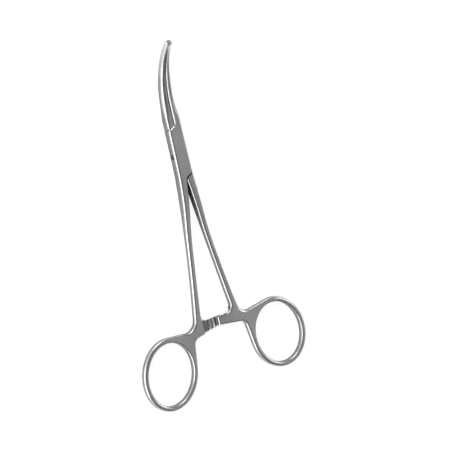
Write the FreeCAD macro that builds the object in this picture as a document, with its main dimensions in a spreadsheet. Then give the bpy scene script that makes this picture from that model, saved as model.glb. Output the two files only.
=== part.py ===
# Curved box-lock hemostat forceps, 14 cm class, in millimetres.
# The forceps lie on their flat back, tips curving up: X across, Y from the finger rings to
# the tips, Z up. The origin is where the axis of the lock pin meets the back of the box.

import FreeCAD, Part
import math
import os

import Sketcher

SIZES = [
    ("box_thick", 4.3),  # box lock, back to front
    ("plate_thick", 1.3),  # each of the two plates that close the slot
    ("box_half_top", 3.0),  # half width of the box at its upper shoulder
    ("box_half_low", 3.2),  # half width of the box at its lower shoulder
    ("shoulder_top", 10.3),  # pin to the outer end of the upper shoulder
    ("shoulder_low", 8.3),  # pin to the outer end of the lower shoulder
    ("shoulder_rise", 1.3),  # rise of a shoulder from the outside to the middle
    ("shoulder_round", 1.6),  # inner corner of a shoulder
    ("wall_thick", 1.05),  # side walls of the box
    ("slot_end", 1.5),  # pin to the end of a side window, on the outside
    ("slot_end_slope", 0.8),  # how far that end slopes over the wall
    ("neck_drop", 0.5),  # pin to the step in each side of the tongue
    ("neck_end", 5.0),  # pin to where the slot and the tongue begin to narrow
    ("tongue_gap", 0.04),  # running gap on each face of the tongue
    ("side_gap", 0.06),  # gap between the edges of the two halves
    ("shoulder_gap", 0.15),  # gap between the shoulders of the two halves
    ("pin_radius", 1.2),
    ("pin_head_radius", 1.55),
    ("pin_head_depth", 0.5),
    ("pin_gap", 0.04),  # running gap round the pin in the tongue
    ("jaw_root", 14.0),  # pin to where the jaws grow out of the box
    ("jaw_bend_start", 17.6),  # pin to where the jaws begin to curve up
    ("jaw_bend_radius", 37.5),  # curve of the middle of the jaws
    ("jaw_reach", 44.8),  # pin to the tips, along Y
    ("jaw_bend_half", 2.85),  # width of one jaw where it begins to curve
    ("jaw_bend_thick", 4.2),
    ("jaw_bend_round", 1.6),
    ("jaw_tip_half", 1.3),  # width of one jaw at its tip
    ("jaw_tip_thick", 2.4),
    ("jaw_tip_round", 0.9),
    ("jaw_tip_relief", 0.2),  # bevel along the gripping face at the tip
    ("jaw_end_round", 0.5),  # rounding of the ends of the jaws
    ("handle_thick", 2.8),  # shanks near the rings, webs and rings
    ("shank_thin_start", 13.0),  # pin to where the box begins to thin out
    ("shank_thin_end", 38.0),  # pin to where the shank has its least thickness
    ("shank_side_radius", 500.0),  # slight inward bow of the outer sides
    ("shank_foot_out", 10.8),  # outer side of the shank at its foot, from the middle
    ("shank_foot_in", 7.7),  # inner side of the shank at its foot, from the middle
    ("shank_foot", 69.0),  # pin to the foot of the shanks, inside the web
    ("ring_out", 14.45),  # foot of the shank to the middle of the ring, outward
    ("ring_down", 11.6),  # foot of the shank to the middle of the ring, along Y
    ("ring_half_wide", 10.1),  # half width of the finger hole
    ("ring_half_long", 12.25),  # half length of the finger hole
    ("ring_wire", 2.0),  # width of the ring round the hole
    ("ring_tilt", 12.7),  # lean of the rings outward, degrees
    ("web_top_out", 0.9),  # upper edge of the web from the inner side of the shank
    ("web_top_up", 0.5),  # and from its foot
    ("web_side_out", 0.9),  # outer corner of the web from the outer side of the shank
    ("web_side_down", 2.3),  # and from its foot
    ("arm_rise", 3.2),  # foot of the shank to the upper edge of the ratchet arms
    ("arm_height", 3.6),  # width of the ratchet arms
    ("arm_end", 1.7),  # how far the lower arm reaches past the middle line
    ("arm_gap", 0.1),  # gap between the crests of the two ratchets
    ("tooth_pitch", 1.9),
    ("tooth_depth", 0.7),
    ("tooth_back", 0.5),  # length of the steep side of a tooth
    ("tooth_first", 5.1),  # middle line to the crest of the last tooth of the lower arm
    ("tooth_start", 0.3),  # middle line to the first crest of the upper arm
    ("shank_root_round", 4.5),  # corner between the outer side of a shank and its web
    ("arm_root_round", 2.8),  # corners above and below a ratchet arm
    ("edge_round", 1.0),  # rounding of the long outer edges
    ("hole_round", 0.75),  # rounding of the edges of the finger holes
    ("parting_relief", 0.45),  # bevel along the edges where the two halves meet
    ("groove_pitch", 1.5),  # angle from one jaw groove to the next, degrees
    ("groove_wide", 0.62),
    ("groove_deep", 0.2),
]
TOOTH_COUNT = 4
GROOVE_COUNT = 28
STRAIGHT_STEPS = 2
BEND_STEPS = 4
TINY = 0.001  # lengths and shares below this count as nothing
NEAR = 0.1
NEARLY_ONE = 0.9999
SHOULDER_LEAN = 0.3  # a wall near the box that faces this much along Y is a shoulder

doc = FreeCAD.newDocument("hemostat_forceps")
sheet = doc.addObject("Spreadsheet::Sheet", "Sizes")
for row, (name, value) in enumerate(SIZES, start=1):
    sheet.set(f"A{row}", name)
    sheet.set(f"B{row}", str(value))
    sheet.setAlias(f"B{row}", name)
doc.recompute()


class Size:
    """A length or angle together with the sheet formula that gives it."""

    def __init__(self, value, text):
        self.value = value
        self.text = text

    def __add__(self, other):
        other = as_size(other)
        return Size(self.value + other.value, f"({self.text} + {other.text})")

    def __sub__(self, other):
        other = as_size(other)
        return Size(self.value - other.value, f"({self.text} - {other.text})")

    def __mul__(self, other):
        other = as_size(other)
        return Size(self.value * other.value, f"({self.text} * {other.text})")

    def __truediv__(self, other):
        other = as_size(other)
        return Size(self.value / other.value, f"({self.text} / {other.text})")

    def __neg__(self):
        return Size(-self.value, f"(-{self.text})")


def as_size(number):
    return number if isinstance(number, Size) else Size(float(number), str(number))


def sine(angle):
    return Size(math.sin(math.radians(angle.value)), f"sin({angle.text} * 1 deg)")


def cosine(angle):
    return Size(math.cos(math.radians(angle.value)), f"cos({angle.text} * 1 deg)")


def tangent(angle):
    return Size(math.tan(math.radians(angle.value)), f"tan({angle.text} * 1 deg)")


def arc_cosine(number):
    return Size(math.degrees(math.acos(number.value)), f"(acos({number.text}) / 1 deg)")


def arc_tangent(rise, run):
    angle = math.degrees(math.atan2(rise.value, run.value))
    return Size(angle, f"(atan2({rise.text}; {run.text}) / 1 deg)")


def root(number):
    return Size(math.sqrt(number.value), f"sqrt({number.text})")


class Sheet:
    """The sizes of the sheet by name."""


S = Sheet()
for name, value in SIZES:
    setattr(S, name, Size(value, f"Sizes.{name}"))


ring_x = S.shank_foot_out + S.ring_out
ring_y = S.shank_foot + S.ring_down
arm_top = S.shank_foot - S.arm_rise
web_top_x = S.shank_foot_in + S.web_top_out
web_top_y = S.shank_foot - S.web_top_up
web_side_x = S.shank_foot_out + S.web_side_out
web_side_y = S.shank_foot + S.web_side_down


def plane_of(body, role):
    return next(part for part in body.Origin.OriginFeatures if part.Role == role)


def new_sketch(body, name, role, lift=None):
    """A sketch on one of the body's own planes, lifted from it along its normal."""
    sketch = body.newObject("Sketcher::SketchObject", name)
    sketch.AttachmentSupport = [(plane_of(body, role), "")]
    sketch.MapMode = "FlatFace"
    if lift is not None:
        sketch.AttachmentOffset = FreeCAD.Placement(
            FreeCAD.Vector(0, 0, lift.value), FreeCAD.Rotation()
        )
        sketch.setExpression("AttachmentOffset.Base.z", lift.text)
    return sketch


def pin_point(sketch, geometry, end, x, y):
    """Holds a point of the sketch at x, y."""
    for kind, axis, size in (("DistanceX", -2, x), ("DistanceY", -1, y)):
        if size.value == 0.0:
            sketch.addConstraint(Sketcher.Constraint("PointOnObject", geometry, end, axis))
            continue
        number = sketch.addConstraint(
            Sketcher.Constraint(kind, -1, 1, geometry, end, size.value)
        )
        sketch.setExpression(f"Constraints[{number}]", size.text)


def arc_between(start, end, radius):
    """Short arc from start to end; a positive radius bows it to the right of the way."""
    chord = end - start
    middle = (start + end) / 2
    side = FreeCAD.Vector(-chord.y, chord.x, 0).normalize()
    reach = math.sqrt(radius**2 - (chord.Length / 2) ** 2)
    if radius > 0:
        centre = middle + side * reach
        first, last = start, end
    else:
        centre = middle - side * reach
        first, last = end, start
    angles = [math.atan2(p.y - centre.y, p.x - centre.x) for p in (first, last)]
    circle = Part.Circle(centre, FreeCAD.Vector(0, 0, 1), abs(radius))
    return Part.ArcOfCircle(circle, angles[0], angles[1])


def closed_outline(sketch, corners):
    """Closed outline through corners (x, y) or (x, y, radius): a radius makes the side that
    ends at this corner an arc, bowed to the right of the way when it is positive."""
    places = [FreeCAD.Vector(corner[0].value, corner[1].value, 0) for corner in corners]
    ends = []
    for index, corner in enumerate(corners):
        start, end = places[index - 1], places[index]
        if len(corner) == 2:
            number = sketch.addGeometry(Part.LineSegment(start, end))
            ends.append((number, 1, 2))
            continue
        radius = corner[2]
        number = sketch.addGeometry(arc_between(start, end, radius.value))
        ends.append((number, 1, 2) if radius.value > 0 else (number, 2, 1))
        size = radius if radius.value > 0 else -radius
        held = sketch.addConstraint(Sketcher.Constraint("Radius", number, size.value))
        sketch.setExpression(f"Constraints[{held}]", size.text)
    for index, corner in enumerate(corners):
        number, _, last = ends[index]
        following, first, _ = ends[(index + 1) % len(ends)]
        sketch.addConstraint(
            Sketcher.Constraint("Coincident", number, last, following, first)
        )
        pin_point(sketch, number, last, corner[0], corner[1])


def pad(body, sketch, name, length, both_ways=False):
    feature = body.newObject("PartDesign::Pad", name)
    feature.Profile = sketch
    feature.Length = length.value
    feature.setExpression("Length", length.text)
    if both_ways:
        feature.SideType = "Symmetric"
    doc.recompute()
    return feature


def pocket(body, sketch, name, length=None, reverse=False, both_ways=False):
    """Cuts the sketch out of the body, right through where no length is given."""
    before = body.Shape.Volume
    feature = body.newObject("PartDesign::Pocket", name)
    feature.Profile = sketch
    if length is None:
        feature.Type = "ThroughAll"
    else:
        feature.Length = length.value
        feature.setExpression("Length", length.text)
    if both_ways:
        feature.SideType = "Symmetric"
    feature.Reversed = reverse
    doc.recompute()
    if not body.Shape.Volume < before:
        raise RuntimeError(f"{name} cuts nothing")
    return feature


def ease_edges(body, way, name, size, wanted):
    """Rounds (way Fillet) or bevels (way Chamfer) every edge for which wanted(edge) is true."""
    solid = body.Tip
    names = [f"Edge{n}" for n, edge in enumerate(solid.Shape.Edges, 1) if wanted(edge)]
    feature = body.newObject(f"PartDesign::{way}", name)
    feature.Base = (solid, names)
    measure = "Radius" if way == "Fillet" else "Size"
    setattr(feature, measure, size.value)
    feature.setExpression(measure, size.text)
    doc.recompute()
    if "Invalid" in feature.State or feature.Shape.isNull():
        raise RuntimeError(f"{name} of {body.Label} failed on {names}")
    return feature


def is_upright(edge):
    """True for a straight edge along Z."""
    if len(edge.Vertexes) != 2:
        return False
    start, end = (vertex.Point for vertex in edge.Vertexes)
    return math.hypot(end.x - start.x, end.y - start.y) < TINY


def box_half(y):
    """Half width of the box at a place y along the middle line."""
    length = S.shoulder_top + S.shoulder_low
    return S.box_half_top + (S.box_half_low - S.box_half_top) * (S.shoulder_top - y) / length


def ring_touch(side, x, y, turn):
    """Where a line from x, y on the right-hand half touches the outside of its ring.
    In the ring's own axes, scaled to a unit circle, it lies an arc cosine away from x, y."""
    half_wide = S.ring_half_wide + S.ring_wire
    half_long = S.ring_half_long + S.ring_wire
    lean_cos, lean_sin = cosine(S.ring_tilt), sine(S.ring_tilt)
    dx, dy = x - ring_x, y + ring_y
    across = (dx * lean_cos + dy * lean_sin) / half_wide
    along = (dy * lean_cos - dx * lean_sin) / half_long
    away = root(across * across + along * along)
    angle = arc_tangent(along, across) + arc_cosine(as_size(1) / away) * turn
    wide, long = half_wide * cosine(angle), half_long * sine(angle)
    touch_x = ring_x + wide * lean_cos - long * lean_sin
    touch_y = wide * lean_sin + long * lean_cos - ring_y
    return touch_x * side, touch_y


def ring_sketch(body, name, side, extra):
    """Ellipse of the finger hole, larger by extra, leaning outward at its lower end."""
    sketch = new_sketch(body, name, "XY_Plane")
    lean = S.ring_tilt * side
    sketch.AttachmentOffset = FreeCAD.Placement(
        FreeCAD.Vector(side * ring_x.value, -ring_y.value, 0),
        FreeCAD.Rotation(FreeCAD.Vector(0, 0, 1), lean.value),
    )
    sketch.setExpression("AttachmentOffset.Base.x", (ring_x * side).text)
    sketch.setExpression("AttachmentOffset.Base.y", (-ring_y).text)
    sketch.setExpression("AttachmentOffset.Rotation.Angle", lean.text)
    long = S.ring_half_long + extra
    wide = S.ring_half_wide + extra
    middle = FreeCAD.Vector(0, 0, 0)
    ellipse = Part.Ellipse(
        FreeCAD.Vector(0, long.value, 0), FreeCAD.Vector(wide.value, 0, 0), middle
    )
    number = sketch.addGeometry(ellipse)
    sketch.exposeInternalGeometry(number)
    long_line, wide_line = number + 1, number + 2
    sketch.addConstraint(Sketcher.Constraint("Coincident", number, 3, -1, 1))
    sketch.addConstraint(Sketcher.Constraint("PointOnObject", long_line, 1, -2))
    for line, size in ((long_line, long * 2), (wide_line, wide * 2)):
        held = sketch.addConstraint(Sketcher.Constraint("Distance", line, size.value))
        sketch.setExpression(f"Constraints[{held}]", size.text)
    return sketch


def add_handle(body, side):
    """Web, ratchet arm and ring blank of one half, on the side given by its sign."""
    top_x, top_y = ring_touch(side, web_top_x, -web_top_y, -1)
    side_x, side_y = ring_touch(side, web_side_x, -web_side_y, 1)
    arm_low = -arm_top - S.arm_height
    end_x = S.arm_end if side < 0 else as_size(0)
    corners = [
        (end_x, -arm_top),
        (end_x, arm_low),
        (web_side_x * side, -web_side_y),
        (side_x, side_y),
        (ring_x * side, -ring_y),
        (top_x, top_y),
        (web_top_x * side, -web_top_y),
        (web_top_x * side, -arm_top),
    ]
    sketch = new_sketch(body, "web_plan", "XY_Plane")
    closed_outline(sketch, corners)
    pad(body, sketch, "web", S.box_thick)
    outer = ring_sketch(body, "ring_plan", side, S.ring_wire)
    pad(body, outer, "ring", S.box_thick)


def thin_handle(body):
    """Thins the shank from the box down to the thickness of the webs and rings."""
    sketch = new_sketch(body, "side_view", "YZ_Plane")
    far = ring_y + S.ring_half_long * 2
    over = S.box_thick * 2
    thin_middle = (S.shank_thin_start + S.shank_thin_end) / 2
    drop = S.box_thick - S.handle_thick
    half_run = (S.shank_thin_end - S.shank_thin_start) / 2
    sweep = (half_run * half_run + drop * drop / 4) / drop
    closed_outline(
        sketch,
        [
            (-S.shank_thin_start, over),
            (-S.shank_thin_start, S.box_thick),
            (-thin_middle, S.handle_thick + drop / 2, sweep),
            (-S.shank_thin_end, S.handle_thick, -sweep),
            (-far, S.handle_thick),
            (-far, over),
        ],
    )
    pocket(body, sketch, "side_trim", both_ways=True)


def jaw_section(body, name, side, place, size):
    """One section of a jaw, D-shaped, its flat on the gripping face. The place is the height
    and the way along Y of its middle and its lean; the size is its width from the middle
    line, its thickness, the rounding of its outer side and the bevels of its flat."""
    height, along, lean = place
    wide, thick, rounding, bevel = size
    sketch = new_sketch(body, name, "XZ_Plane")
    sketch.AttachmentOffset = FreeCAD.Placement(
        FreeCAD.Vector(0, height.value, -along.value),
        FreeCAD.Rotation(FreeCAD.Vector(1, 0, 0), lean.value),
    )
    sketch.setExpression("AttachmentOffset.Base.y", height.text)
    sketch.setExpression("AttachmentOffset.Base.z", (-along).text)
    sketch.setExpression("AttachmentOffset.Rotation.Angle", lean.text)
    flat, half = S.side_gap / 2, thick / 2
    closed_outline(
        sketch,
        [
            (flat * side, bevel - half),
            ((flat + bevel) * side, -half),
            ((wide - rounding) * side, -half),
            (wide * side, rounding - half, rounding * side),
            (wide * side, half - rounding),
            ((wide - rounding) * side, half, rounding * side),
            ((flat + bevel) * side, half),
            (flat * side, half - bevel),
        ],
    )
    return sketch


def add_jaw(body, side):
    """Grows the jaw from the end of the box: straight at first, then curving up and tapering."""
    middle = S.box_thick / 2
    root_size = (S.box_half_top, S.box_thick, S.edge_round, S.parting_relief)
    bend_size = (S.jaw_bend_half, S.jaw_bend_thick, S.jaw_bend_round, S.parting_relief)
    tip_size = (S.jaw_tip_half, S.jaw_tip_thick, S.jaw_tip_round, S.jaw_tip_relief)
    run = S.jaw_reach - S.jaw_bend_start
    radius = S.jaw_bend_radius
    bend = arc_tangent(run, root(radius * radius - run * run))
    straight = S.jaw_bend_start - S.jaw_root
    nothing = as_size(0)
    sections = []
    for step in range(STRAIGHT_STEPS):
        share = as_size(step) / STRAIGHT_STEPS
        size = [a + (b - a) * share for a, b in zip(root_size, bend_size)]
        place = (middle, S.jaw_root + straight * share, nothing)
        sections.append(jaw_section(body, f"jaw_root_{step}", side, place, size))
    for step in range(BEND_STEPS + 1):
        share = as_size(step) / BEND_STEPS
        size = [a + (b - a) * share for a, b in zip(bend_size, tip_size)]
        lean = bend * share
        height = middle + radius * (as_size(1) - cosine(lean))
        place = (height, S.jaw_bend_start + radius * sine(lean), lean)
        sections.append(jaw_section(body, f"jaw_bend_{step}", side, place, size))
    loft = body.newObject("PartDesign::AdditiveLoft", "jaw")
    loft.Profile = sections[0]
    loft.Sections = sections[1:]
    loft.Ruled = False
    doc.recompute()
    if "Invalid" in loft.State or len(body.Shape.Solids) != 1:
        raise RuntimeError(f"the jaw of {body.Label} failed")
    tip = FreeCAD.Vector(0, cosine(bend).value, sine(bend).value)

    def is_end(edge):
        meeting = faces_at(body.Tip.Shape, edge)[1]
        ends = [normal.dot(tip) > NEARLY_ONE for _, normal in meeting]
        return sum(ends) == 1 and meeting[ends.index(False)][1].x * side > -0.5

    ease_edges(body, "Fillet", "jaw_end", S.jaw_end_round, is_end)


def faces_at(solid, edge):
    """The faces that meet at an edge, each with its outward normal halfway along it."""
    middle = edge.valueAt((edge.FirstParameter + edge.LastParameter) / 2)
    found = []
    for face in solid.ancestorsOfType(edge, Part.Face):
        u, v = face.Surface.parameter(middle)
        found.append((face, face.normalAt(u, v)))
    return middle, found


def on_ellipse(point, side, extra):
    """True where a point lies over the ellipse of a finger hole made larger by extra."""
    lean = math.radians(S.ring_tilt.value) * side
    dx = point.x - side * ring_x.value
    dy = point.y + ring_y.value
    wide = dx * math.cos(lean) + dy * math.sin(lean)
    long = -dx * math.sin(lean) + dy * math.cos(lean)
    half_wide = S.ring_half_wide.value + extra
    half_long = S.ring_half_long.value + extra
    return abs(math.hypot(wide / half_wide, long / half_long) - 1) < 0.002


def round_plan_corners(body, side):
    """Rounds the upright inner corners of the handle, as seen from above."""
    arm_low = -(arm_top + S.arm_height).value
    handle_top = -arm_top.value + S.arm_height.value

    def kind_of(edge):
        if not is_upright(edge):
            return None
        meeting = faces_at(body.Tip.Shape, edge)[1]
        if len(meeting) != 2 or meeting[0][1].dot(meeting[1][1]) > NEARLY_ONE:
            return None
        place = edge.Vertexes[0].Point
        if place.y > handle_top:
            return None
        if on_ellipse(place, side, S.ring_wire.value):
            return None
        if abs(place.x) > S.shank_foot_in.value and place.y > arm_low + NEAR:
            return "shank"
        if abs(place.x) > S.arm_end.value + NEAR:
            return "arm"
        return None

    for kind, radius in (
        ("shank", S.shank_root_round),
        ("arm", S.arm_root_round),
    ):
        ease_edges(
            body, "Fillet", f"{kind}_corners", radius, lambda edge: kind_of(edge) == kind
        )


def ease_long_edges(body, side, parting_side):
    """Rounds or bevels the edges between the walls of the plan and the skins of the side
    view."""
    tongue_reach = (S.shoulder_top + S.shoulder_rise + S.shoulder_round).value

    def is_tongue(place):
        off_middle = abs(place.z - S.box_thick.value / 2)
        return abs(place.y) < tongue_reach and off_middle < slot_height.value / 2

    def kind_of(edge):
        middle, meeting = faces_at(body.Tip.Shape, edge)
        if len(meeting) != 2 or is_tongue(middle):
            return None
        if middle.y > S.jaw_root.value - TINY:
            return None
        flats = [abs(normal.z) < TINY for _, normal in meeting]
        if sum(flats) != 1:
            return None
        wall = meeting[flats.index(True)][1]
        skin = meeting[flats.index(False)][1]
        if abs(skin.x) > TINY:
            return None
        if on_ellipse(middle, side, 0):
            return "hole"
        if side > 0 and -tongue_reach < middle.y < 0 and abs(wall.y) > SHOULDER_LEAN:
            return None
        if middle.y > S.neck_end.value and wall.x * parting_side > NEAR:
            return "parting"
        return "outer"

    for kind, way, size in (
        ("hole", "Fillet", S.hole_round),
        ("outer", "Fillet", S.edge_round),
        ("parting", "Chamfer", S.parting_relief),
    ):
        ease_edges(body, way, f"{kind}_edges", size, lambda edge: kind_of(edge) == kind)


def add_ratchet(body, side):
    """Halves the arm's thickness where the two arms lap and cuts the teeth into it."""
    lap = S.tooth_first + S.tooth_pitch
    facing = S.handle_thick / 2 + S.arm_gap / 2 * side
    over = S.arm_height / 4
    low, high = -arm_top - S.arm_height * 1.5, -arm_top + over
    flat = new_sketch(body, "lap_plan", "XY_Plane", facing)
    closed_outline(
        flat, [(lap * side, low), (lap * side, high), (-lap * side, high), (-lap * side, low)]
    )
    pocket(body, flat, "lap", S.handle_thick, reverse=side < 0)
    middle = arm_top + S.arm_height / 2
    notch = new_sketch(body, "tooth_gap_section", "XZ_Plane", middle)
    crest = lap * side if side < 0 else S.tooth_start
    valley_run = S.tooth_pitch - S.tooth_back if side < 0 else S.tooth_back
    valley = facing + S.tooth_depth * side
    beyond = facing - S.tooth_depth * side
    closed_outline(
        notch,
        [
            (crest, facing),
            (crest + valley_run, valley),
            (crest + S.tooth_pitch, facing),
            (crest + S.tooth_pitch, beyond),
            (crest, beyond),
        ],
    )
    gap = pocket(body, notch, "tooth_gap", S.arm_height * 2, both_ways=True)
    row = body.newObject("PartDesign::LinearPattern", "teeth")
    row.Originals = [gap]
    row.Direction = (notch, ["H_Axis"])
    length = S.tooth_pitch * (TOOTH_COUNT - 1)
    row.Occurrences = TOOTH_COUNT
    row.Length = length.value
    row.setExpression("Length", length.text)
    body.Tip = row
    doc.recompute()


def add_grooves(body, side):
    """Cuts the cross grooves into the gripping face of a jaw, round the curve of the jaw."""
    section = new_sketch(body, "groove_plan", "XY_Plane", S.box_thick / 2)
    half = S.groove_wide / 2
    face = S.side_gap / 2 * side
    closed_outline(
        section,
        [
            (face - S.side_gap * side, S.jaw_bend_start - half),
            (face, S.jaw_bend_start - half),
            (face + S.groove_deep * side, S.jaw_bend_start),
            (face, S.jaw_bend_start + half),
            (face - S.side_gap * side, S.jaw_bend_start + half),
        ],
    )
    groove = pocket(body, section, "groove", S.box_thick * 1.2, both_ways=True)
    axis = new_sketch(body, "jaw_bend_axis", "XY_Plane")
    height = S.box_thick / 2 + S.jaw_bend_radius
    axis.AttachmentOffset = FreeCAD.Placement(
        FreeCAD.Vector(0, S.jaw_bend_start.value, height.value), FreeCAD.Rotation()
    )
    axis.setExpression("AttachmentOffset.Base.y", S.jaw_bend_start.text)
    axis.setExpression("AttachmentOffset.Base.z", height.text)
    row = body.newObject("PartDesign::PolarPattern", "grooves")
    row.Originals = [groove]
    row.Axis = (axis, ["H_Axis"])
    row.Occurrences = GROOVE_COUNT
    sweep = S.groove_pitch * (GROOVE_COUNT - 1)
    row.Angle = sweep.value
    row.setExpression("Angle", sweep.text)
    body.Tip = row
    doc.recompute()


def pin_profile(body, name):
    """Half section of the pin: its two ends spread into shallow countersinks."""
    sketch = new_sketch(body, name, "XZ_Plane")
    nothing = as_size(0)
    closed_outline(
        sketch,
        [
            (nothing, nothing),
            (S.pin_head_radius, nothing),
            (S.pin_radius, S.pin_head_depth),
            (S.pin_radius, S.box_thick - S.pin_head_depth),
            (S.pin_head_radius, S.box_thick),
            (nothing, S.box_thick),
        ],
    )
    return sketch


parting = S.side_gap / 2
shoulder_mid_top = S.shoulder_top + S.shoulder_rise
shoulder_mid_low = -S.shoulder_low - S.shoulder_rise
slot_height = S.box_thick - S.plate_thick * 2


def shoulder_bend(x, y, way):
    """The two ends of the round corner in the middle of a shoulder: on the parting line and
    on the shoulder, where the sharp corner would be at x, y. The way is 1 at the upper
    shoulder, which falls away to the left, and -1 at the lower one."""
    slope = arc_tangent(S.shoulder_rise, S.box_half_top)
    run = S.shoulder_round / tangent(slope / 2 + 45)
    on_parting = (x, y + run * way)
    on_shoulder = (x - run * cosine(slope) * way, y - run * sine(slope) * way)
    return on_parting, on_shoulder


# Female half: left shank, slotted box and right jaw.
female = doc.addObject("PartDesign::Body", "female_half")
female.Label = "female_half"
plan = new_sketch(female, "half_plan", "XY_Plane")
top_parting, top_shoulder = shoulder_bend(parting, shoulder_mid_top, 1)
low_parting, low_shoulder = shoulder_bend(-parting, shoulder_mid_low, -1)
closed_outline(
    plan,
    [
        (parting, S.jaw_root),
        top_parting,
        (*top_shoulder, -S.shoulder_round),
        (-S.box_half_top, S.shoulder_top),
        (-S.box_half_low, -S.shoulder_low),
        (-S.shank_foot_out, -S.shank_foot, -S.shank_side_radius),
        (-S.shank_foot_in, -S.shank_foot),
        low_parting,
        (*low_shoulder, -S.shoulder_round),
        (S.box_half_low, -S.shoulder_low),
        (S.box_half_top, S.shoulder_top),
        (S.box_half_top, S.jaw_root),
    ],
)
pad(female, plan, "half_blank", S.box_thick)
add_handle(female, -1)
pocket(female, ring_sketch(female, "hole_plan", -1, as_size(0)), "finger_hole", reverse=True)
round_plan_corners(female, -1)
thin_handle(female)
ease_long_edges(female, -1, -1)
add_jaw(female, 1)

slot = new_sketch(female, "slot_plan", "XY_Plane", S.box_thick / 2)
wall_end = S.slot_end + S.slot_end_slope
outside = S.box_half_low * 2
window_half = box_half(S.slot_end)
closed_outline(
    slot,
    [
        (parting, shoulder_mid_top),
        top_parting,
        (-outside, top_parting[1]),
        (-outside, -S.slot_end),
        (-window_half, -S.slot_end),
        (-window_half + S.wall_thick, -wall_end),
        (-window_half + S.wall_thick, -S.neck_end),
        (-parting, shoulder_mid_low),
        low_parting,
        (outside, low_parting[1]),
        (outside, S.slot_end),
        (window_half, S.slot_end),
        (window_half - S.wall_thick, wall_end),
        (window_half - S.wall_thick, S.neck_end),
    ],
)
pocket(female, slot, "slot", slot_height, both_ways=True)
bore_section = pin_profile(female, "pin_seat_section")
bore = female.newObject("PartDesign::Groove", "pin_seat")
bore.Profile = bore_section
bore.ReferenceAxis = (bore_section, ["V_Axis"])
bore.Angle = 360
doc.recompute()
add_ratchet(female, -1)
add_grooves(female, 1)

# Male half: right shank, thin tongue through the box, and left jaw.


def cut_jaw_shoulder(name, lift, upward):
    """Cuts the root of the male jaw back to its shoulder, down to the skin of the tongue."""
    sketch = new_sketch(male, f"{name}_plan", "XY_Plane", lift)
    nothing = as_size(0)
    far = -S.box_half_top * 2
    on_parting, on_shoulder = shoulder_bend(-parting, shoulder_mid_top + S.shoulder_gap, 1)
    closed_outline(
        sketch,
        [
            (far, shoulder_mid_top + S.shoulder_gap - S.shoulder_rise * 2),
            on_shoulder,
            (*on_parting, S.shoulder_round),
            (parting, on_parting[1]),
            (parting, nothing),
            (far, nothing),
        ],
    )
    pocket(male, sketch, name, S.plate_thick + S.tongue_gap, reverse=upward)


male = doc.addObject("PartDesign::Body", "male_half")
male.Label = "male_half"
tongue = new_sketch(male, "tongue_plan", "XY_Plane", S.box_thick / 2)
inner = window_half - S.wall_thick - S.side_gap
overlap = S.shoulder_round
tongue_top = shoulder_mid_top + overlap
tongue_low = shoulder_mid_low - overlap
closed_outline(
    tongue,
    [
        (-parting, tongue_top),
        (-box_half(tongue_top) + S.side_gap, tongue_top),
        (-window_half + S.side_gap, S.neck_drop),
        (-inner, S.neck_drop),
        (-inner, -S.neck_end),
        (parting, shoulder_mid_low),
        (parting + S.side_gap * 5, tongue_low),
        (box_half(tongue_low) - S.side_gap, tongue_low),
        (window_half - S.side_gap, -S.neck_drop),
        (inner, -S.neck_drop),
        (inner, S.neck_end),
        (-parting, shoulder_mid_top),
    ],
)
pad(male, tongue, "tongue", slot_height - S.tongue_gap * 2, both_ways=True)
jaw = new_sketch(male, "jaw_plan", "XY_Plane")
closed_outline(
    jaw,
    [
        (-S.box_half_top, S.jaw_root),
        (-S.box_half_top, S.shoulder_top),
        (-box_half(S.neck_end), S.neck_end),
        (-parting, S.neck_end),
        (-parting, S.jaw_root),
    ],
)
pad(male, jaw, "jaw_blank", S.box_thick)
shank = new_sketch(male, "shank_plan", "XY_Plane")
shank_parting, shank_shoulder = shoulder_bend(parting, shoulder_mid_low - S.shoulder_gap, -1)
closed_outline(
    shank,
    [
        shank_shoulder,
        (*shank_parting, S.shoulder_round),
        (S.shank_foot_in, -S.shank_foot),
        (S.shank_foot_out, -S.shank_foot),
        (S.box_half_low, -S.shoulder_low - S.shoulder_gap, -S.shank_side_radius),
    ],
)
pad(male, shank, "shank_blank", S.box_thick)
add_handle(male, 1)
pocket(male, ring_sketch(male, "hole_plan", 1, as_size(0)), "finger_hole", reverse=True)
round_plan_corners(male, 1)
thin_handle(male)
ease_long_edges(male, 1, 1)
add_jaw(male, -1)
cut_jaw_shoulder("jaw_shoulder_low", None, True)
cut_jaw_shoulder("jaw_shoulder_top", S.box_thick, False)
bore_plan = new_sketch(male, "pin_hole_plan", "XY_Plane")
hole_radius = S.pin_radius + S.pin_gap
number = bore_plan.addGeometry(
    Part.Circle(FreeCAD.Vector(0, 0, 0), FreeCAD.Vector(0, 0, 1), hole_radius.value)
)
bore_plan.addConstraint(Sketcher.Constraint("Coincident", number, 3, -1, 1))
held = bore_plan.addConstraint(Sketcher.Constraint("Radius", number, hole_radius.value))
bore_plan.setExpression(f"Constraints[{held}]", hole_radius.text)
pocket(male, bore_plan, "pin_hole", reverse=True)
add_ratchet(male, 1)
add_grooves(male, -1)

# Lock pin: a rivet whose ends are spread and ground flush with the plates.
pin = doc.addObject("PartDesign::Body", "lock_pin")
pin.Label = "lock_pin"
pin_section = pin_profile(pin, "pin_section")
turned = pin.newObject("PartDesign::Revolution", "turned_pin")
turned.Profile = pin_section
turned.ReferenceAxis = (pin_section, ["V_Axis"])
turned.Angle = 360
doc.recompute()

for item in doc.Objects:
    if "Invalid" in item.State or "Error" in item.State:
        raise RuntimeError(f"{item.Label} failed: {item.State}")
os.makedirs("parts", exist_ok=True)
for item in (female, male, pin):
    shape = item.Shape
    if shape.isNull() or not shape.isValid() or len(shape.Solids) != 1:
        raise RuntimeError(f"{item.Label} is not one sound solid")
    shape.exportStep(f"parts/{item.Label}.step")
    print(item.Label, round(shape.Volume, 2), "mm3")
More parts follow.
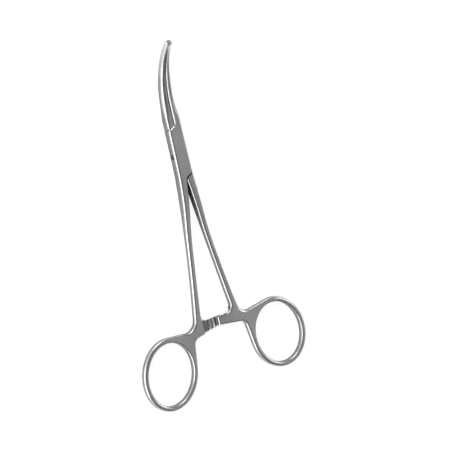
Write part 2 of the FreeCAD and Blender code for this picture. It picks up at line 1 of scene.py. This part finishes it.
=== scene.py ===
"""Looks of a curved box-lock hemostat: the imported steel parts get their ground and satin
finish, and lie on a pale studio floor, seen as in the photograph."""

import bpy
import numpy as np
from mathutils import Matrix, Vector

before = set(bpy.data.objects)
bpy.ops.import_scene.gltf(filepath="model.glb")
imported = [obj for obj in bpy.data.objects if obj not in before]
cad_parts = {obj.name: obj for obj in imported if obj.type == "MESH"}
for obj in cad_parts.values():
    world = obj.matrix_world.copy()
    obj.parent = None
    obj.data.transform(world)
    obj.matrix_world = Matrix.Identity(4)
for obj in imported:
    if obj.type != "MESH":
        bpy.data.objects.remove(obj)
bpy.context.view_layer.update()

# Female half: left shank, slotted box, right jaw, left ring and lower ratchet arm.
# One drop forging of martensitic stainless steel, ground along its length, then glass-bead
# blasted to a satin skin.


def new_group(name, inputs, outputs):
    """Empty shader node group with the named sockets, and its two end nodes."""
    group = bpy.data.node_groups.new(name, "ShaderNodeTree")
    for side, sockets in (("INPUT", inputs), ("OUTPUT", outputs)):
        for label, kind, value in sockets:
            socket = group.interface.new_socket(name=label, in_out=side, socket_type=kind)
            if value is not None:
                socket.default_value = value
    start = group.nodes.new("NodeGroupInput")
    end = group.nodes.new("NodeGroupOutput")
    return group, start, end


def noise(tree, place, stretch, scale, detail):
    """Noise texture of a place multiplied by stretch, which sets the grain's direction."""
    mapping = tree.nodes.new("ShaderNodeMapping")
    mapping.inputs["Scale"].default_value = stretch
    texture = tree.nodes.new("ShaderNodeTexNoise")
    texture.inputs["Scale"].default_value = scale
    texture.inputs["Detail"].default_value = detail
    texture.inputs["Roughness"].default_value = 0.55
    tree.links.new(place, mapping.inputs["Vector"])
    tree.links.new(mapping.outputs["Vector"], texture.inputs["Vector"])
    return texture.outputs["Fac"]


def remap(tree, value, low, high, to_low, to_high):
    """Value moved from the range low to high into the range to_low to to_high."""
    node = tree.nodes.new("ShaderNodeMapRange")
    for label, number in (
        ("From Min", low),
        ("From Max", high),
        ("To Min", to_low),
        ("To Max", to_high),
    ):
        node.inputs[label].default_value = number
    tree.links.new(value, node.inputs["Value"])
    return node.outputs["Result"]


def combine(tree, operation, first, second):
    """One number from two, each a socket or a plain number."""
    node = tree.nodes.new("ShaderNodeMath")
    node.operation = operation
    for socket, value in zip(node.inputs, (first, second)):
        if isinstance(value, float):
            socket.default_value = value
        else:
            tree.links.new(value, socket)
    return node.outputs["Value"]


def add_shares(tree, total, shares):
    """Total plus each value times its weight."""
    for value, weight in shares:
        total = combine(tree, "ADD", total, combine(tree, "MULTIPLY", value, weight))
    return total


# Satin grain: fine lines along the tool, a soft cloudiness where the blasting was uneven, a
# sprinkle of small dull specks, and the slow wave of hand polishing. The place is in metres.
grain, grain_in, grain_out = new_group(
    "satin_grain",
    [
        ("Place", "NodeSocketVector", None),
        ("Tone", "NodeSocketColor", (0.6, 0.6, 0.6, 1.0)),
        ("Dull Tone", "NodeSocketColor", (0.4, 0.4, 0.4, 1.0)),
        ("Roughness", "NodeSocketFloat", 0.3),
        ("Line Depth", "NodeSocketFloat", 0.1),
    ],
    [
        ("Colour", "NodeSocketColor", None),
        ("Roughness", "NodeSocketFloat", None),
        ("Normal", "NodeSocketVector", None),
    ],
)
where = grain_in.outputs["Place"]
lines = noise(grain, where, (1.0, 0.045, 1.0), 5200.0, 3.0)
cloud = noise(grain, where, (1.0, 0.5, 1.0), 260.0, 4.0)
blast = noise(grain, where, (1.0, 1.0, 1.0), 9000.0, 2.0)
specks = noise(grain, where, (1.0, 0.7, 1.0), 1500.0, 2.0)
hand_wave = noise(grain, where, (1.0, 0.6, 1.0), 85.0, 0.0)
line_share, cloud_share, wave_share = (
    remap(grain, pattern, 0.3, 0.7, -0.5, 0.5) for pattern in (lines, cloud, hand_wave)
)
speck_mask = remap(grain, specks, 0.66, 0.76, 0.0, 1.0)
mean_dullness = 0.3
dullness = add_shares(
    grain,
    mean_dullness,
    ((line_share, 0.22), (cloud_share, 0.35), (speck_mask, 0.4), (wave_share, 0.6)),
)
tone = grain.nodes.new("ShaderNodeMix")
tone.data_type = "RGBA"
grain.links.new(dullness, tone.inputs["Factor"])
grain.links.new(grain_in.outputs["Tone"], tone.inputs["A"])
grain.links.new(grain_in.outputs["Dull Tone"], tone.inputs["B"])
grain.links.new(tone.outputs["Result"], grain_out.inputs["Colour"])
rough = add_shares(
    grain,
    grain_in.outputs["Roughness"],
    ((cloud_share, 0.07), (line_share, 0.05), (speck_mask, 0.1)),
)
grain.links.new(rough, grain_out.inputs["Roughness"])
relief = add_shares(grain, lines, ((blast, 0.5), (speck_mask, -0.6)))

# Two reliefs, one over the other: the slow polishing wave, which bends the reflected light
# over millimetres, and the scratches, pits and specks of the blasting, a fortieth as deep.
wave_relief = grain.nodes.new("ShaderNodeBump")
wave_relief.inputs["Distance"].default_value = 0.0004
grain.links.new(hand_wave, wave_relief.inputs["Height"])
fine_relief = grain.nodes.new("ShaderNodeBump")
fine_relief.inputs["Distance"].default_value = 0.00001
grain.links.new(wave_relief.outputs["Normal"], fine_relief.inputs["Normal"])
grain.links.new(grain_in.outputs["Line Depth"], fine_relief.inputs["Strength"])
grain.links.new(relief, fine_relief.inputs["Height"])
grain.links.new(fine_relief.outputs["Normal"], grain_out.inputs["Normal"])


def satin_steel(name, tone, dull_tone, roughness, line_depth):
    """Bare stainless steel with the satin grain, all in Object coordinates."""
    material = bpy.data.materials.new(name)
    material.use_nodes = True
    tree = material.node_tree
    shader = tree.nodes["Principled BSDF"]
    shader.inputs["Metallic"].default_value = 1.0
    finish = tree.nodes.new("ShaderNodeGroup")
    finish.node_tree = grain
    finish.inputs["Tone"].default_value = (*tone, 1.0)
    finish.inputs["Dull Tone"].default_value = (*dull_tone, 1.0)
    finish.inputs["Roughness"].default_value = roughness
    finish.inputs["Line Depth"].default_value = line_depth
    place = tree.nodes.new("ShaderNodeTexCoord")
    tree.links.new(place.outputs["Object"], finish.inputs["Place"])
    tree.links.new(finish.outputs["Colour"], shader.inputs["Base Color"])
    tree.links.new(finish.outputs["Roughness"], shader.inputs["Roughness"])
    tree.links.new(finish.outputs["Normal"], shader.inputs["Normal"])
    return material


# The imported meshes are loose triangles. Joined where they touch, shaded smooth up to a
# crease of 30 degrees, and with each large flat face keeping its own normal.
skin = bpy.data.node_groups.new("joined_smooth_skin", "GeometryNodeTree")
skin.interface.new_socket(name="Geometry", in_out="INPUT", socket_type="NodeSocketGeometry")
skin.interface.new_socket(name="Geometry", in_out="OUTPUT", socket_type="NodeSocketGeometry")
skin_in = skin.nodes.new("NodeGroupInput")
skin_out = skin.nodes.new("NodeGroupOutput")
joined = skin.nodes.new("GeometryNodeMergeByDistance")
joined.inputs["Distance"].default_value = 0.000001
smooth = skin.nodes.new("GeometryNodeSetShadeSmooth")
crease = skin.nodes.new("GeometryNodeSetShadeSmooth")
crease.domain = "EDGE"
crease.inputs["Shade Smooth"].default_value = False
fold = skin.nodes.new("GeometryNodeInputMeshEdgeAngle")
sharp = skin.nodes.new("FunctionNodeCompare")
sharp.operation = "GREATER_THAN"
crease_angle = np.radians(30.0)
sharp.inputs["B"].default_value = crease_angle
skin.links.new(skin_in.outputs["Geometry"], joined.inputs["Geometry"])
skin.links.new(joined.outputs["Geometry"], smooth.inputs["Geometry"])
skin.links.new(smooth.outputs["Geometry"], crease.inputs["Geometry"])
skin.links.new(fold.outputs["Unsigned Angle"], sharp.inputs["A"])
skin.links.new(sharp.outputs["Result"], crease.inputs["Selection"])
skin.links.new(crease.outputs["Geometry"], skin_out.inputs["Geometry"])


def dress(node, material):
    """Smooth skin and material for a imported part, whose own mesh stays as it is."""
    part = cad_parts[node]
    part.data.materials.clear()
    part.data.materials.append(material)
    part.modifiers.new("skin", "NODES").node_group = skin
    flat_first = part.modifiers.new("flat_first", "WEIGHTED_NORMAL")
    flat_first.keep_sharp = True
    flat_first.weight = 60


forged_steel = satin_steel(
    "forged_satin_steel", (0.67, 0.67, 0.675), (0.48, 0.48, 0.48), 0.29, 0.35
)
dress("female_half", forged_steel)

# Male half: right shank, thin tongue through the box, left jaw, right ring and upper
# ratchet arm. The same forging steel and finish, from the other die.
dress("male_half", forged_steel)

# Lock pin: a steel rivet spread at both ends and ground flush with the box, so that only
# a faint ring shows. Its ends are a little duller, with the grain of the grinding wheel.
pin_steel = satin_steel("pin_steel", (0.66, 0.66, 0.665), (0.46, 0.46, 0.46), 0.3, 0.5)
dress("lock_pin", pin_steel)

# Floor: a pale paper sweep that the forceps lies on. The camera sees it near white, with a
# little of the shadow left. The steel mirrors it bright through a glow painted on the paper,
# with painted shade close to the tool, where the forceps hides the paper from the room.
floor_half = 1.5
floor_mesh = bpy.data.meshes.new("paper_floor")
floor_mesh.from_pydata(
    [
        (-floor_half, -floor_half, 0.0),
        (floor_half, -floor_half, 0.0),
        (floor_half, floor_half, 0.0),
        (-floor_half, floor_half, 0.0),
    ],
    [],
    [(0, 1, 2, 3)],
)
floor = bpy.data.objects.new("paper_floor", floor_mesh)
bpy.context.scene.collection.objects.link(floor)
paper = bpy.data.materials.new("pale_paper")
paper.use_nodes = True
tree = paper.node_tree
tree.nodes.remove(tree.nodes["Principled BSDF"])


def matt_paper(tree, grey):
    """Plain paper surface of one grey, lit only by the lamps and the room."""
    shader = tree.nodes.new("ShaderNodeBsdfDiffuse")
    shader.inputs["Color"].default_value = (grey, grey, grey, 1.0)
    return shader.outputs["BSDF"]


def pick(tree, kind, otherwise, chosen):
    """Shader that is the chosen one for rays of one kind, and the other one for the rest."""
    ray = tree.nodes.new("ShaderNodeLightPath")
    node = tree.nodes.new("ShaderNodeMixShader")
    tree.links.new(ray.outputs[kind], node.inputs["Fac"])
    tree.links.new(otherwise, node.inputs[1])
    tree.links.new(chosen, node.inputs[2])
    return node.outputs["Shader"]


def glow_over(tree, surface, strength):
    """Surface with white light of its own added, of a plain number or a socket's strength."""
    light = tree.nodes.new("ShaderNodeEmission")
    if isinstance(strength, float):
        light.inputs["Strength"].default_value = strength
    else:
        tree.links.new(strength, light.inputs["Strength"])
    node = tree.nodes.new("ShaderNodeAddShader")
    tree.links.new(surface, node.inputs[0])
    tree.links.new(light.outputs["Emission"], node.inputs[1])
    return node.outputs["Shader"]


# Painted shade: the paper's glow in the steel is its ambient occlusion within 15 mm, to the
# fifth power.
painted_shade_occlusion = tree.nodes.new("ShaderNodeAmbientOcclusion")
painted_shade_occlusion.inputs["Distance"].default_value = 0.015
glow_less_painted_shade = combine(tree, "POWER", painted_shade_occlusion.outputs["AO"], 5.0)
plain_paper = matt_paper(tree, 0.45)
paper_glow_with_painted_shade = glow_over(tree, plain_paper, glow_less_painted_shade)
backdrop = glow_over(tree, matt_paper(tree, 0.3), 0.88)
paper_in_steel_with_painted_shade = pick(tree, "Is Glossy Ray", plain_paper, paper_glow_with_painted_shade)
paper_look = pick(tree, "Is Camera Ray", paper_in_steel_with_painted_shade, backdrop)
tree.links.new(paper_look, tree.nodes["Material Output"].inputs["Surface"])
floor_mesh.materials.append(paper)

# Studio room: white where the camera looks. The steel sees a dim room instead, grey over the
# right shoulder of the forceps, darkest overhead and bright low down on the left. The fade
# runs from 0, opposite the grey side, to 1 straight at it.
room = bpy.data.worlds.new("studio_room")
bpy.context.scene.world = room
room.use_nodes = True
tree = room.node_tree
walls = tree.nodes["Background"]
direction = tree.nodes.new("ShaderNodeTexCoord")
grey_side = Vector((0.6, -0.3, 0.74)).normalized()
toward = tree.nodes.new("ShaderNodeVectorMath")
toward.operation = "DOT_PRODUCT"
toward.inputs[1].default_value = grey_side
tree.links.new(direction.outputs["Generated"], toward.inputs[0])
fade = tree.nodes.new("ShaderNodeValToRGB")
fade.color_ramp.interpolation = "EASE"
stops = fade.color_ramp.elements
for stop, level in zip(stops, (0.9, 0.38)):
    stop.color = (level, level, level, 1.0)
for position, level in (
    (0.3, 0.9),
    (0.48, 0.6),
    (0.6, 0.26),
    (0.72, 0.1),
    (0.88, 0.14),
    (0.97, 0.38),
):
    stop = stops.new(position)
    stop.color = (level, level, level, 1.0)
tree.links.new(remap(tree, toward.outputs["Value"], -1.0, 1.0, 0.0, 1.0), fade.inputs["Fac"])
tree.links.new(fade.outputs["Color"], walls.inputs["Color"])
white = tree.nodes.new("ShaderNodeBackground")
white.inputs["Color"].default_value = (1.0, 1.0, 1.0, 1.0)
room_look = pick(
    tree, "Is Camera Ray", walls.outputs["Background"], white.outputs["Background"]
)
tree.links.new(room_look, tree.nodes["World Output"].inputs["Surface"])


# Softboxes: a wide one low on the left draws the white line along every left-hand edge, one
# beyond the tips picks out the edges that face it, and a weak one on the right lifts the
# sides that face away from the camera. All three look at the middle of the tool.
def softbox(name, place, wide, high, watts):
    """Rectangular area light at a place, in metres, that faces the middle of the forceps."""
    light = bpy.data.lights.new(name, "AREA")
    light.shape = "RECTANGLE"
    light.size = wide
    light.size_y = high
    light.energy = watts
    lamp = bpy.data.objects.new(name, light)
    lamp.location = place
    middle = Vector((0.0, -0.03, 0.0))
    lamp.rotation_mode = "QUATERNION"
    lamp.rotation_quaternion = (middle - lamp.location).to_track_quat("-Z", "Y")
    bpy.context.scene.collection.objects.link(lamp)


softbox("left_softbox", Vector((-0.95, -0.2, 0.3)), 1.3, 0.6, 5.2)
softbox("far_softbox", Vector((0.0, 1.05, 0.5)), 0.7, 0.5, 3.6)
softbox("right_softbox", Vector((1.0, 0.2, 0.6)), 0.6, 0.6, 3.0)

# Camera: high on the left of the jaws, as the photograph was taken, from 1.4 m away with
# a long lens. The rows are its right, up and back directions in the forceps's frame.
camera = bpy.data.cameras.new("photo_camera")
camera.lens = 296.6
camera.sensor_width = 36.0
camera.clip_start = 0.1
camera.clip_end = 10.0
view = bpy.data.objects.new("photo_camera", camera)
turn = Matrix(
    (
        (0.81618909, -0.2190855, 0.53463718),
        (0.31402839, 0.94492736, -0.09218713),
        (-0.48499644, 0.24313339, 0.84003846),
    )
).transposed()
view.matrix_world = Matrix.Translation((-0.675015, 0.311915, 1.193177)) @ turn.to_4x4()
bpy.context.scene.collection.objects.link(view)
bpy.context.scene.camera = view
bpy.context.scene.view_settings.view_transform = "Standard"
